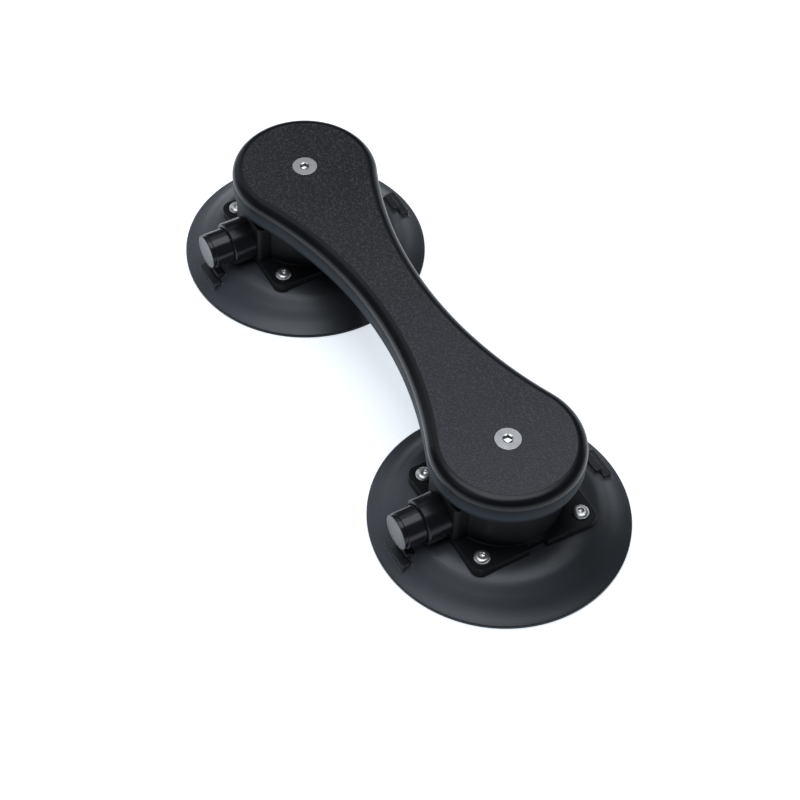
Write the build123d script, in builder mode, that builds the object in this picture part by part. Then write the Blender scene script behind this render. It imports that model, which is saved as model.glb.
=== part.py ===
from build123d import *
import os

# Two-cup vacuum mount. Two round rubber pads, each with a hand pump, carry one dog-bone plate.
# Millimetres. +Z is up, +X runs along the plate from cup to cup, the pumps point to -Y.
# The origin is under the middle of the plate, on the surface that the pads stand on.

# ---------------------------------------------------------------- overall
CUP_SPACING = 239.4
CUPS = {"left": -CUP_SPACING / 2, "right": CUP_SPACING / 2}
OVERALL_H = 72.7

# ---------------------------------------------------------------- plate
PLATE_T = 19.05
PLATE_END_R = 44.45
WAIST_HALF = 19.05
PLATE_ROUND = 6.35
PLATE_UNDER_ROUND = 3.2
PLATE_Z = OVERALL_H - PLATE_T

# ---------------------------------------------------------------- pad
PAD_R = 76.2
RIM_T = 2.5
SEAL_INNER_R = 67.0
CAVITY_TOP_R = 58.0
CAVITY_H = 11.0
HUB_R = 43.0
HUB_TOP = 17.0
CROWN = ((54.0, 15.2), (62.0, 10.6), (69.0, 5.9))
RIM_SLOPE = (1.0, -0.40)
SEAL_GROOVES = (69.0, 71.5, 74.0)
SEAL_GROOVE = 0.8
RELIEF_GAP = 1.2

# Two-step lift tabs at +Y and -Y: (half length, inner y, outer y, foot z, top z)
TAB_STEPS = ((10.5, 64.0, 70.0, 4.0, 9.6), (6.8, 60.0, 65.2, 9.0, 13.2))
TAB_ROUND = 1.4

# ---------------------------------------------------------------- clamp plate and port
CLAMP_R = 51.5
CLAMP_Z = 7.0
CLAMP_EASE = 1.0
PORT_Y = 28.5
PORT_R = 2.2
SPIGOT_R = 5.0
SPIGOT_END = 9.0
SPIGOT_GAP = 0.2
PORT_ORING_AT = 7.4
ORING_R = 0.8
FILTER_R = 4.0
FILTER_T = 1.6

# ---------------------------------------------------------------- pump body
FLANGE_HALF = 40.6
FLANGE_Z = HUB_TOP
FLANGE_TOP = 22.0
FLANGE_CORNER = 6.5
FLANGE_EASE = 0.8
NOTCH_W = 11.0
NOTCH_DEPTH = 3.6
PUCK_R = 35.75
PUCK_EASE = 0.4
BOSS_HALF = 15.8
BOSS_FRONT = FLANGE_HALF
BOSS_TOP = 49.0
BOSS_EASE = 3.0
PUMP_Z = 30.0
BORE_R = 9.5
BORE_END_Y = 31.0
BUTTON_BORE_R = 11.3
BUTTON_BORE_Y = -31.0
POCKET_R = 31.4
POCKET_FLOOR = 25.5
BARREL_HALF = 14.2
CROWN_FLOOR = 45.5
COLUMN_R = 10.0
RIB_T = 2.4
RIB_AT = 13.0

# ---------------------------------------------------------------- flange screws
SCREW_AT = 32.3
SCREW_R = 2.5
SCREW_CLEAR_R = 2.9
SCREW_HEAD_R = 4.9
SCREW_HEAD_H = 2.9
SCREW_DOME = 1.6
SCREW_HEX = 3.0
SCREW_HEX_DEPTH = 1.7
SCREW_LEN = 14.0
SCREW_SINK = 0.4
SCREW_SEAT_R = 5.6
THREAD_GAP = 0.05

# ---------------------------------------------------------------- plate screws and inserts
PLATE_SCREW_R = 4.0
PLATE_SCREW_LEN = 30.0
PLATE_HEAD_R = 7.6
PLATE_HEAD_H = PLATE_HEAD_R - PLATE_SCREW_R
HEAD_ANGLE = 90
PLATE_HEX = 5.0
PLATE_HEX_DEPTH = 3.0
PLATE_SCREW_CLEAR = 4.4
PLATE_SCREW_TIP = 0.6
INSERT_R = 6.5
INSERT_L = 12.0
INSERT_BANDS = (0.4, 0.6)
INSERT_GROOVE = 0.6

# ---------------------------------------------------------------- pump inside
# y is measured from the cup's centre
LINER_R = 8.0
LINER_Y = (-23.0, 23.0)
SEAT_T = 3.0
CIRCLIP_Y = (-29.3, -28.1)
CIRCLIP_R = (7.9, 10.2)
CIRCLIP_GAP = 5.5
BUSH_Y = (-28.0, -23.0)
BUSH_BORE = 3.55
BUSH_LEAD = 0.8
ROD_R = 3.5
ROD_Y = (-62.0, -14.5)
PISTON_R = 7.6
PISTON_Y = (-18.0, -9.0)
LIP_SEAL_Y = (-15.5, -12.0)
LIP_SEAL_R = (5.7, 7.95)
LIP_T = 0.8
LIP_DEPTH = 1.6
PISTON_SCREW_R = 1.5
PISTON_SCREW_HEAD = (2.75, 1.7)
PISTON_SCREW_HEX = 2.0
PISTON_SCREW_HEX_DEPTH = 1.1
PISTON_SCREW_L = 5.0
PISTON_SCREW_TAP = 7.0
SMALL_EASE = 0.4
VALVE_R = 4.2
VALVE_T = 1.2
VALVE_STEM_R = 1.2
VALVE_BEAD_R = 1.8
SEAT_HOLE_AT = 2.9
SEAT_HOLE_R = 0.7
SPRING_R = 6.2
SPRING_WIRE_R = 0.6
SPRING_PITCH = 3.4

# ---------------------------------------------------------------- collar and button
COLLAR_R = 13.6
COLLAR_Y = (-54.8, -BOSS_FRONT)
COLLAR_BORE = 11.25
COLLAR_ROUND = 1.0
COLLAR_SPIGOT_R = 12.6
COLLAR_SPIGOT_L = 5.0
BUTTON_R = 10.9
BUTTON_Y = (-69.0, -46.5)
BUTTON_WALL = 2.0
BUTTON_WEB = 4.0
BUTTON_HUB_R = 5.5
BUTTON_HUB_END = -52.0
CAP_T = 1.5
CAP_R = 10.5
CAP_PEG_R = 2.5
GROOVE_W = 1.2
GROOVE_DEPTH = 0.8


# ================================================================ helpers
def level(cx, z):
    """Horizontal plane over one cup's centre at height z."""
    return Plane(origin=(cx, 0, z))


def upright(cx):
    """Vertical plane through one cup's axis: local x is world X, local y is world Z."""
    return Plane(origin=(cx, 0, 0), x_dir=(1, 0, 0), z_dir=(0, -1, 0))


def across(cx, y):
    """Plane square to the pump's axis at y: extruding it by d runs towards +Y."""
    return Plane(origin=(cx, y, PUMP_Z), x_dir=(1, 0, 0), z_dir=(0, 1, 0))


def beside(cx):
    """Plane along the pump's axis: local x is world Y, local y is the radius."""
    return Plane(origin=(cx, 0, PUMP_Z), x_dir=(0, 1, 0), z_dir=(1, 0, 0))


def cup_axis(cx):
    return Axis((cx, 0, 0), (0, 0, 1))


def pump_axis(cx):
    return Axis((cx, 0, PUMP_Z), (0, 1, 0))


def save(part, label):
    part.label = label
    export_step(part, f"parts/{label}.step")


def turned(cx, profile):
    """A part turned about the pump's axis from a closed (y, radius) profile."""
    with BuildPart() as piece:
        with BuildSketch(beside(cx)):
            with BuildLine():
                Polyline(*profile, close=True)
            make_face()
        revolve(axis=pump_axis(cx))
    return piece


# ================================================================ plate
def plate_outline():
    """Dog-bone outline: two end arcs and two hollow waist arcs, all tangent."""
    half = CUP_SPACING / 2
    waist_r = (half**2 + WAIST_HALF**2 - PLATE_END_R**2) / (2 * (PLATE_END_R - WAIST_HALF))
    waist_y = WAIST_HALF + waist_r
    reach = (half**2 + waist_y**2) ** 0.5
    tx = half - PLATE_END_R * half / reach
    ty = PLATE_END_R * waist_y / reach
    with BuildLine() as outline:
        ThreePointArc((tx, -ty), (half + PLATE_END_R, 0), (tx, ty))
        ThreePointArc((tx, ty), (0, WAIST_HALF), (-tx, ty))
        ThreePointArc((-tx, ty), (-half - PLATE_END_R, 0), (-tx, -ty))
        ThreePointArc((-tx, -ty), (0, -WAIST_HALF), (tx, -ty))
    return outline.line


def make_plate():
    with BuildPart() as bar_plate:
        with BuildSketch(Plane.XY.offset(PLATE_Z)):
            make_face(plate_outline().edges())
        extrude(amount=PLATE_T)
        under, *_, top = bar_plate.faces().sort_by(Axis.Z)
        fillet(top.edges(), radius=PLATE_ROUND)
        fillet(under.edges(), radius=PLATE_UNDER_ROUND)
        with Locations(*[(cx, 0, OVERALL_H) for cx in CUPS.values()]):
            CounterSinkHole(PLATE_SCREW_CLEAR, PLATE_HEAD_R, counter_sink_angle=HEAD_ANGLE)
    save(bar_plate.part, "bar_plate")


def make_plate_screws():
    shank_z = OVERALL_H - PLATE_SCREW_LEN
    with BuildPart() as plate_screws:
        for cx in CUPS.values():
            with BuildSketch(upright(cx)):
                with BuildLine():
                    Polyline(
                        (0, shank_z),
                        (PLATE_SCREW_R - PLATE_SCREW_TIP, shank_z),
                        (PLATE_SCREW_R, shank_z + PLATE_SCREW_TIP),
                        (PLATE_SCREW_R, OVERALL_H - PLATE_HEAD_H),
                        (PLATE_HEAD_R, OVERALL_H),
                        (0, OVERALL_H),
                        close=True,
                    )
                make_face()
            revolve(axis=cup_axis(cx))
            with BuildSketch(level(cx, OVERALL_H)):
                RegularPolygon(PLATE_HEX / 2, 6, major_radius=False)
            extrude(amount=-PLATE_HEX_DEPTH, mode=Mode.SUBTRACT)
    save(plate_screws.part, "plate_screws")


# ================================================================ pad and its clamp
def make_pad(side, cx):
    with BuildPart() as pad:
        with BuildSketch(upright(cx)):
            with BuildLine():
                Polyline((PAD_R, RIM_T), (PAD_R, 0), (SEAL_INNER_R, 0), (CAVITY_TOP_R, CAVITY_H))
                Polyline((CAVITY_TOP_R, CAVITY_H), (0, CAVITY_H), (0, HUB_TOP), (HUB_R, HUB_TOP))
                Spline(
                    (HUB_R, HUB_TOP),
                    *CROWN,
                    (PAD_R, RIM_T),
                    tangents=((1, 0), RIM_SLOPE),
                )
            make_face()
        revolve(axis=cup_axis(cx))
        for half, inner, outer, foot, top in TAB_STEPS:
            with BuildSketch(level(cx, foot)):
                with Locations((0, (inner + outer) / 2), (0, -(inner + outer) / 2)):
                    RectangleRounded(2 * half, outer - inner, TAB_ROUND)
            extrude(amount=top - foot)
        with BuildSketch(level(cx, 0)):
            for groove_r in SEAL_GROOVES:
                Circle(groove_r + SEAL_GROOVE / 2)
                Circle(groove_r - SEAL_GROOVE / 2, mode=Mode.SUBTRACT)
        extrude(amount=SEAL_GROOVE, mode=Mode.SUBTRACT)
        with BuildSketch(level(cx, CAVITY_H)):
            with GridLocations(2 * SCREW_AT, 2 * SCREW_AT, 2, 2):
                Circle(SCREW_CLEAR_R)
            with Locations((0, PORT_Y)):
                Circle(SPIGOT_R + SPIGOT_GAP)
        extrude(amount=HUB_TOP - CAVITY_H, mode=Mode.SUBTRACT)
        with BuildSketch(across(cx, -FLANGE_HALF)):
            Circle(COLLAR_R + RELIEF_GAP)
        extrude(amount=COLLAR_Y[0] - RELIEF_GAP + FLANGE_HALF, mode=Mode.SUBTRACT)
    save(pad.part, f"{side}_vacuum_pad")


def make_clamp_plate(side, cx):
    with BuildPart() as clamp:
        with BuildSketch(level(cx, CLAMP_Z)):
            Circle(CLAMP_R)
            with GridLocations(2 * SCREW_AT, 2 * SCREW_AT, 2, 2):
                Circle(SCREW_R + THREAD_GAP, mode=Mode.SUBTRACT)
            with Locations((0, PORT_Y)):
                Circle(FILTER_R, mode=Mode.SUBTRACT)
        extrude(amount=CAVITY_H - CLAMP_Z)
        with BuildSketch(level(cx, SPIGOT_END)):
            with Locations((0, PORT_Y)):
                Circle(SPIGOT_R + SPIGOT_GAP)
        extrude(amount=CAVITY_H - SPIGOT_END, mode=Mode.SUBTRACT)
        chamfer(clamp.faces().sort_by(Axis.Z)[0].outer_wire().edges(), length=CLAMP_EASE)
    save(clamp.part, f"{side}_clamp_plate")


def make_port_filter(side, cx):
    with BuildPart() as port_filter:
        with BuildSketch(level(cx, CLAMP_Z)):
            with Locations((0, PORT_Y)):
                Circle(FILTER_R)
        extrude(amount=FILTER_T)
    save(port_filter.part, f"{side}_port_filter")


def make_port_oring(side, cx):
    port_axis = Axis((cx, PORT_Y, 0), (0, 0, 1))
    section = Plane(origin=(cx, PORT_Y, HUB_TOP + ORING_R), x_dir=(1, 0, 0), z_dir=(0, -1, 0))
    with BuildPart() as oring:
        with BuildSketch(section):
            with Locations((PORT_ORING_AT, 0)):
                Circle(ORING_R)
        revolve(axis=port_axis)
    save(oring.part, f"{side}_port_oring")


def make_base_screws(side, cx):
    seat_z = FLANGE_TOP - SCREW_SINK
    with BuildPart() as screws:
        with BuildSketch(level(cx, seat_z - SCREW_LEN)):
            with GridLocations(2 * SCREW_AT, 2 * SCREW_AT, 2, 2):
                Circle(SCREW_R)
        extrude(amount=SCREW_LEN)
        with BuildSketch(level(cx, seat_z)):
            with GridLocations(2 * SCREW_AT, 2 * SCREW_AT, 2, 2):
                Circle(SCREW_HEAD_R)
        extrude(amount=SCREW_HEAD_H)
        crown = screws.faces().filter_by(GeomType.PLANE).sort_by(Axis.Z)[-4:]
        fillet(crown.edges(), radius=SCREW_DOME)
        with BuildSketch(level(cx, seat_z + SCREW_HEAD_H)):
            with GridLocations(2 * SCREW_AT, 2 * SCREW_AT, 2, 2):
                RegularPolygon(SCREW_HEX / 2, 6, major_radius=False)
        extrude(amount=-SCREW_HEX_DEPTH, mode=Mode.SUBTRACT)
    save(screws.part, f"{side}_base_screws")


# ================================================================ pump body
def make_pump_body(side, cx):
    bore_steps = (
        (-BOSS_FRONT, -BOSS_FRONT + COLLAR_SPIGOT_L, COLLAR_SPIGOT_R),
        (-BOSS_FRONT, BUTTON_BORE_Y, BUTTON_BORE_R),
        (BUTTON_BORE_Y, BORE_END_Y, BORE_R),
        (CIRCLIP_Y[0], CIRCLIP_Y[1], CIRCLIP_R[1]),
    )
    with BuildPart() as body:
        # square base flange with a notch in the middle of its two outer sides
        with BuildSketch(level(cx, FLANGE_Z)):
            RectangleRounded(2 * FLANGE_HALF, 2 * FLANGE_HALF, FLANGE_CORNER)
            with Locations((FLANGE_HALF, 0), (-FLANGE_HALF, 0)):
                Rectangle(2 * NOTCH_DEPTH, NOTCH_W, mode=Mode.SUBTRACT)
        extrude(amount=FLANGE_TOP - FLANGE_Z)
        chamfer(body.faces().sort_by(Axis.Z)[-1].edges(), length=FLANGE_EASE)
        # round puck under the plate
        with BuildSketch(level(cx, FLANGE_TOP)):
            Circle(PUCK_R)
        extrude(amount=PLATE_Z - FLANGE_TOP)
        rounds = body.edges().filter_by(GeomType.CIRCLE)
        fillet(rounds.sort_by(SortBy.RADIUS).group_by(SortBy.RADIUS)[-1].sort_by(Axis.Z)[0], PUCK_EASE)
        # boss that carries the pump
        with BuildSketch(level(cx, FLANGE_TOP)) as boss:
            with Locations((0, -BOSS_FRONT / 2)):
                Rectangle(2 * BOSS_HALF, BOSS_FRONT)
            fillet(boss.vertices().group_by(Axis.Y)[0], radius=BOSS_EASE)
        extrude(amount=BOSS_TOP - FLANGE_TOP)
        # spigot that carries the vacuum port down through the pad
        with BuildSketch(level(cx, SPIGOT_END)):
            with Locations((0, PORT_Y)):
                Circle(SPIGOT_R)
        extrude(amount=FLANGE_Z - SPIGOT_END)
        # moulded pockets, open at the top: deep beside the barrel, shallow over it
        with BuildSketch(level(cx, POCKET_FLOOR)):
            Circle(POCKET_R)
            Rectangle(2 * BARREL_HALF, 2 * PUCK_R, mode=Mode.SUBTRACT)
            with Locations((0, RIB_AT), (0, -RIB_AT)):
                Rectangle(2 * PUCK_R, RIB_T, mode=Mode.SUBTRACT)
        extrude(amount=PLATE_Z - POCKET_FLOOR, mode=Mode.SUBTRACT)
        with BuildSketch(level(cx, CROWN_FLOOR)):
            Circle(POCKET_R)
            Circle(COLUMN_R, mode=Mode.SUBTRACT)
            Rectangle(2 * PUCK_R, RIB_T, mode=Mode.SUBTRACT)
            Rectangle(RIB_T, 2 * PUCK_R, mode=Mode.SUBTRACT)
            with Locations((0, RIB_AT), (0, -RIB_AT)):
                Rectangle(2 * PUCK_R, RIB_T, mode=Mode.SUBTRACT)
        extrude(amount=PLATE_Z - CROWN_FLOOR, mode=Mode.SUBTRACT)
        # stepped pump bore from the front
        for start, end, radius in bore_steps:
            with BuildSketch(across(cx, start)):
                Circle(radius)
            extrude(amount=end - start, mode=Mode.SUBTRACT)
        # port under the bore's closed end, and the groove for its O-ring
        with BuildSketch(level(cx, SPIGOT_END)):
            with Locations((0, PORT_Y)):
                Circle(PORT_R)
        extrude(amount=PUMP_Z - SPIGOT_END, mode=Mode.SUBTRACT)
        with BuildSketch(level(cx, HUB_TOP)):
            with Locations((0, PORT_Y)):
                Circle(PORT_ORING_AT + ORING_R)
                Circle(PORT_ORING_AT - ORING_R, mode=Mode.SUBTRACT)
        extrude(amount=2 * ORING_R, mode=Mode.SUBTRACT)
        # seat for the threaded insert
        with BuildSketch(level(cx, PLATE_Z - INSERT_L)):
            Circle(INSERT_R)
        extrude(amount=INSERT_L, mode=Mode.SUBTRACT)
        # screw holes with a shallow seat for each head
        with BuildSketch(level(cx, FLANGE_Z)):
            with GridLocations(2 * SCREW_AT, 2 * SCREW_AT, 2, 2):
                Circle(SCREW_CLEAR_R)
        extrude(amount=FLANGE_TOP - FLANGE_Z, mode=Mode.SUBTRACT)
        with BuildSketch(level(cx, FLANGE_TOP - SCREW_SINK)):
            with GridLocations(2 * SCREW_AT, 2 * SCREW_AT, 2, 2):
                Circle(SCREW_SEAT_R)
        extrude(amount=SCREW_SINK, mode=Mode.SUBTRACT)
    save(body.part, f"{side}_pump_body")


def make_mount_insert(side, cx):
    top = PLATE_Z
    low, high = (top - INSERT_L * share for share in reversed(INSERT_BANDS))
    with BuildPart() as insert:
        with BuildSketch(upright(cx)):
            with BuildLine():
                Polyline(
                    (PLATE_SCREW_R + THREAD_GAP, top - INSERT_L),
                    (INSERT_R, top - INSERT_L),
                    (INSERT_R, low),
                    (INSERT_R - INSERT_GROOVE, low),
                    (INSERT_R - INSERT_GROOVE, high),
                    (INSERT_R, high),
                    (INSERT_R, top),
                    (PLATE_SCREW_R + THREAD_GAP, top),
                    close=True,
                )
            make_face()
        revolve(axis=cup_axis(cx))
    save(insert.part, f"{side}_mount_insert")


# ================================================================ pump inside, fixed pieces
def make_cylinder(side, cx):
    with BuildPart() as liner:
        with BuildSketch(across(cx, LINER_Y[0])):
            Circle(BORE_R)
            Circle(LINER_R, mode=Mode.SUBTRACT)
        extrude(amount=LINER_Y[1] - LINER_Y[0])
    save(liner.part, f"{side}_pump_cylinder")


def make_valve_seat(side, cx):
    seat_y = LINER_Y[1]
    groove_at = seat_y + SEAT_T / 2 - ORING_R
    with BuildPart() as seat:
        with BuildSketch(across(cx, seat_y)):
            Circle(BORE_R)
            Circle(VALVE_STEM_R + THREAD_GAP, mode=Mode.SUBTRACT)
            with PolarLocations(SEAT_HOLE_AT, 4):
                Circle(SEAT_HOLE_R, mode=Mode.SUBTRACT)
        extrude(amount=SEAT_T)
        with BuildSketch(across(cx, groove_at)):
            Circle(BORE_R)
            Circle(BORE_R - 2 * ORING_R, mode=Mode.SUBTRACT)
        extrude(amount=2 * ORING_R, mode=Mode.SUBTRACT)
    save(seat.part, f"{side}_valve_seat")
    with BuildPart() as oring:
        with BuildSketch(beside(cx)):
            with Locations((seat_y + SEAT_T / 2, BORE_R - ORING_R)):
                Circle(ORING_R)
        revolve(axis=pump_axis(cx))
    save(oring.part, f"{side}_seat_oring")


def make_check_valve(side, cx):
    """Rubber umbrella: the cap covers the seat's holes, the stem's bead holds it in the seat."""
    y = LINER_Y[1]
    back = y + SEAT_T
    profile = (
        (y - VALVE_T, 0),
        (y - VALVE_T, VALVE_R / 2),
        (y - VALVE_T / 3, VALVE_R),
        (y, VALVE_R),
        (y, VALVE_STEM_R),
        (back, VALVE_STEM_R),
        (back, VALVE_BEAD_R),
        (back + VALVE_T, VALVE_STEM_R),
        (back + VALVE_T, 0),
    )
    save(turned(cx, profile).part, f"{side}_check_valve")


def make_return_spring(side, cx):
    start = PISTON_Y[1] + SPRING_WIRE_R
    length = LINER_Y[1] - SPRING_WIRE_R - start
    with BuildPart() as spring:
        with BuildLine():
            coil = Helix(
                SPRING_PITCH,
                length,
                SPRING_R,
                center=(cx, start, PUMP_Z),
                direction=(0, 1, 0),
            )
        with BuildSketch(Plane(origin=coil @ 0, z_dir=coil % 0)):
            Circle(SPRING_WIRE_R)
        sweep(path=coil, is_frenet=True)
    save(spring.part, f"{side}_return_spring")


def make_guide_bush(side, cx):
    with BuildPart() as bush:
        with BuildSketch(across(cx, BUSH_Y[0])):
            Circle(BORE_R)
            Circle(BUSH_BORE, mode=Mode.SUBTRACT)
        extrude(amount=BUSH_Y[1] - BUSH_Y[0])
        mouth = bush.edges().filter_by(GeomType.CIRCLE).group_by(Axis.Y)[0]
        chamfer(mouth.sort_by(SortBy.RADIUS)[0], length=BUSH_LEAD)
    save(bush.part, f"{side}_guide_bush")


def make_circlip(side, cx):
    with BuildPart() as circlip:
        with BuildSketch(across(cx, CIRCLIP_Y[0])):
            Circle(CIRCLIP_R[1])
            Circle(CIRCLIP_R[0], mode=Mode.SUBTRACT)
            with Locations((0, CIRCLIP_R[1])):
                Rectangle(CIRCLIP_GAP, CIRCLIP_R[1], mode=Mode.SUBTRACT)
        extrude(amount=CIRCLIP_Y[1] - CIRCLIP_Y[0])
    save(circlip.part, f"{side}_bush_circlip")


def make_collar(side, cx):
    with BuildPart() as collar:
        with BuildSketch(across(cx, COLLAR_Y[0])):
            Circle(COLLAR_R)
        extrude(amount=COLLAR_Y[1] - COLLAR_Y[0])
        fillet(collar.edges().group_by(Axis.Y)[0], radius=COLLAR_ROUND)
        with BuildSketch(across(cx, COLLAR_Y[1])):
            Circle(COLLAR_SPIGOT_R)
        extrude(amount=COLLAR_SPIGOT_L)
        with BuildSketch(across(cx, COLLAR_Y[0])):
            Circle(COLLAR_BORE)
        extrude(amount=COLLAR_Y[1] - COLLAR_Y[0] + COLLAR_SPIGOT_L, mode=Mode.SUBTRACT)
    save(collar.part, f"{side}_pump_collar")


# ================================================================ plunger: the moving pieces
def make_rod(side, cx):
    with BuildPart() as rod:
        with BuildSketch(across(cx, ROD_Y[0])):
            Circle(ROD_R)
        extrude(amount=ROD_Y[1] - ROD_Y[0])
        chamfer(rod.edges().filter_by(GeomType.CIRCLE), length=SMALL_EASE)
        with BuildSketch(across(cx, ROD_Y[1])):
            Circle(PISTON_SCREW_R + THREAD_GAP)
        extrude(amount=-PISTON_SCREW_TAP, mode=Mode.SUBTRACT)
    save(rod.part, f"{side}_plunger_rod")


def make_piston(side, cx):
    with BuildPart() as piston:
        with BuildSketch(across(cx, PISTON_Y[0])):
            Circle(PISTON_R)
            Circle(PISTON_SCREW_R + THREAD_GAP, mode=Mode.SUBTRACT)
        extrude(amount=PISTON_Y[1] - PISTON_Y[0])
        with BuildSketch(across(cx, PISTON_Y[0])):
            Circle(ROD_R)
        extrude(amount=ROD_Y[1] - PISTON_Y[0], mode=Mode.SUBTRACT)
        with BuildSketch(across(cx, LIP_SEAL_Y[0])):
            Circle(PISTON_R)
            Circle(LIP_SEAL_R[0], mode=Mode.SUBTRACT)
        extrude(amount=LIP_SEAL_Y[1] - LIP_SEAL_Y[0], mode=Mode.SUBTRACT)
    save(piston.part, f"{side}_piston")


def make_piston_seal(side, cx):
    """Cup seal with its hollow towards the chamber: air leaves past the lip on the push stroke."""
    back, front = LIP_SEAL_Y
    inner, outer = LIP_SEAL_R
    profile = (
        (back, inner),
        (back, outer - LIP_T / 2),
        (front, outer),
        (front, outer - LIP_T),
        (front - LIP_DEPTH, (inner + outer) / 2),
        (front, inner + LIP_T),
        (front, inner),
    )
    save(turned(cx, profile).part, f"{side}_piston_seal")


def make_piston_screw(side, cx):
    face = PISTON_Y[1]
    head_r, head_h = PISTON_SCREW_HEAD
    tip = ROD_Y[1] - PISTON_SCREW_L
    with BuildPart() as screw:
        with BuildSketch(across(cx, tip)):
            Circle(PISTON_SCREW_R)
        extrude(amount=face - tip)
        with BuildSketch(across(cx, face)):
            Circle(head_r)
        extrude(amount=head_h)
        chamfer(screw.edges().group_by(Axis.Y)[-1], length=SMALL_EASE)
        with BuildSketch(across(cx, face + head_h)):
            RegularPolygon(PISTON_SCREW_HEX / 2, 6, major_radius=False)
        extrude(amount=-PISTON_SCREW_HEX_DEPTH, mode=Mode.SUBTRACT)
    save(screw.part, f"{side}_piston_screw")


def make_button(side, cx):
    front = BUTTON_Y[0] + CAP_T
    web_end = front + BUTTON_WEB
    with BuildPart() as button:
        with BuildSketch(across(cx, front)):
            Circle(BUTTON_R)
        extrude(amount=BUTTON_Y[1] - front)
        with BuildSketch(across(cx, web_end)):
            Circle(BUTTON_R - BUTTON_WALL)
            Circle(BUTTON_HUB_R, mode=Mode.SUBTRACT)
        extrude(amount=BUTTON_Y[1] - web_end, mode=Mode.SUBTRACT)
        with BuildSketch(across(cx, BUTTON_HUB_END)):
            Circle(BUTTON_HUB_R)
        extrude(amount=BUTTON_Y[1] - BUTTON_HUB_END, mode=Mode.SUBTRACT)
        with BuildSketch(across(cx, ROD_Y[0])):
            Circle(ROD_R)
        extrude(amount=BUTTON_HUB_END - ROD_Y[0], mode=Mode.SUBTRACT)
        with BuildSketch(across(cx, front)):
            Circle(CAP_PEG_R)
        extrude(amount=CAP_T, mode=Mode.SUBTRACT)
        with BuildSketch(across(cx, front)):
            Circle(BUTTON_R)
            Circle(BUTTON_R - GROOVE_DEPTH, mode=Mode.SUBTRACT)
        extrude(amount=GROOVE_W, mode=Mode.SUBTRACT)
    save(button.part, f"{side}_push_button")


def make_button_cap(side, cx):
    with BuildPart() as cap:
        with BuildSketch(across(cx, BUTTON_Y[0])):
            Circle(CAP_R)
        extrude(amount=CAP_T)
        chamfer(cap.edges().group_by(Axis.Y)[0], length=SMALL_EASE)
        with BuildSketch(across(cx, BUTTON_Y[0] + CAP_T)):
            Circle(CAP_PEG_R)
        extrude(amount=CAP_T)
    save(cap.part, f"{side}_button_cap")


CUP_PIECES = (
    make_pad,
    make_clamp_plate,
    make_port_filter,
    make_port_oring,
    make_base_screws,
    make_pump_body,
    make_mount_insert,
    make_cylinder,
    make_valve_seat,
    make_check_valve,
    make_return_spring,
    make_guide_bush,
    make_circlip,
    make_collar,
    make_rod,
    make_piston,
    make_piston_seal,
    make_piston_screw,
    make_button,
    make_button_cap,
)

os.makedirs("parts", exist_ok=True)
make_plate()
make_plate_screws()
for side, cx in CUPS.items():
    for make_piece in CUP_PIECES:
        make_piece(side, cx)
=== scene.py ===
import bpy
import bmesh
import math
from mathutils import Matrix, Vector


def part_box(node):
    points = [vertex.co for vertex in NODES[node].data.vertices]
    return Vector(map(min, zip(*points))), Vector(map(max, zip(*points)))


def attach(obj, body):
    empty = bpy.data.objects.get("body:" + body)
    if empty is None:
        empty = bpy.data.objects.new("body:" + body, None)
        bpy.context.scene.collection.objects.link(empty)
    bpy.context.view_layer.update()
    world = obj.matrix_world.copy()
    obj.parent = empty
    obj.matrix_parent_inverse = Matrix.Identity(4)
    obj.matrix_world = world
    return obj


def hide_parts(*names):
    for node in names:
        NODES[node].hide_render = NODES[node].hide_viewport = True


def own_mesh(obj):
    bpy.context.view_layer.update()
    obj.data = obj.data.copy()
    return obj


# Looks for the two-cup vacuum mount. Metres, in the CAD frame: +Z up, +X along the plate, pumps to -Y.

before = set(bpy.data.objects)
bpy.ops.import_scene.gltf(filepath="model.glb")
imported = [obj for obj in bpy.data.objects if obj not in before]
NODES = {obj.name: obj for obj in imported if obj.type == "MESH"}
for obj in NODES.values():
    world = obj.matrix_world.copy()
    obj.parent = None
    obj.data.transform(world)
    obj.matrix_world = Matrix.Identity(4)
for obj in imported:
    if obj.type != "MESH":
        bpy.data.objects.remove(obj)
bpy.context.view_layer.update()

MM = 0.001
SIDES = ("left", "right")


# ================================================================ sizes read from the frame
def middle(node):
    low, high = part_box(node)
    return (low + high) / 2


PLATE_LOW, PLATE_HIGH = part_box("bar_plate")
CUP_X = {side: middle(f"{side}_vacuum_pad").x for side in SIDES}
HALF_SPACING = CUP_X["right"]
PAD_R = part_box("right_vacuum_pad")[1].x - HALF_SPACING
HUB_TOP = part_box("right_vacuum_pad")[1].z
PUMP_Z = middle("right_plunger_rod").z
BODY_LOW, BODY_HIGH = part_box("right_pump_body")
FLANGE_HALF = BODY_HIGH.x - HALF_SPACING


# ================================================================ mesh helpers
SAME_POINT = 1e-7
SHARP_ANGLE = 35.0


def to_mesh(bm, name):
    """Writes a bmesh to a mesh, with doubled points joined and faces turned outwards."""
    bmesh.ops.remove_doubles(bm, verts=bm.verts, dist=SAME_POINT)
    bmesh.ops.recalc_face_normals(bm, faces=bm.faces)
    mesh = bpy.data.meshes.new(name)
    bm.to_mesh(mesh)
    bm.free()
    return mesh


def finish_mesh(bm, name, body, replaces):
    return finish_object(to_mesh(bm, name), name, body, SHARP_ANGLE, replaces)


def finish_object(mesh, name, body, sharp, replaces):
    """Turns a mesh into a shown piece that rides on a body and stands for CAD nodes."""
    mesh.shade_smooth()
    mesh.set_sharp_from_angle(angle=math.radians(sharp))
    piece = bpy.data.objects.new(name, mesh)
    bpy.context.scene.collection.objects.link(piece)
    weighted = piece.modifiers.new("weighted_normals", "WEIGHTED_NORMAL")
    weighted.keep_sharp = True
    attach(piece, body)
    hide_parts(*replaces)
    return piece


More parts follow.
